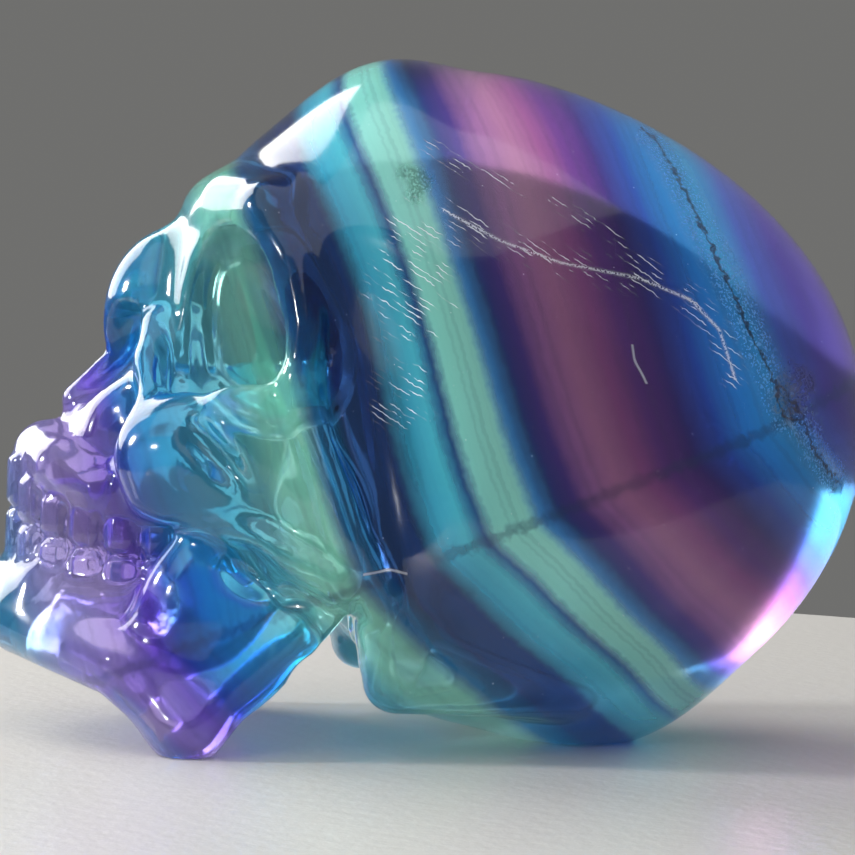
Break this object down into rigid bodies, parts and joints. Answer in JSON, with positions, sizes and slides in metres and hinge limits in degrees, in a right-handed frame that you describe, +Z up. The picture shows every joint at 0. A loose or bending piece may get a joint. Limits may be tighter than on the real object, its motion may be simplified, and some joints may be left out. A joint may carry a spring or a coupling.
{
  "type": "carved fluorite skull",
  "caption": "Human skull carved from one block of banded, translucent fluorite and polished, with the lower jaw attached, resting on its jaw angles and the back of the head.",
  "frame": {"origin": "middle of the bounding box, on the plane the skull rests on", "axes": "+Z up, -Y the way the face looks, +X the skull's own left; the plane X = 0 is its middle"},
  "size_m": [0.0308, 0.0531, 0.0407],
  "materials": {
    "fluorite": "polished, colour banded"
  },
  "bodies": {
    "root": {"carved_skull": "fluorite"}
  },
  "joints": []
}
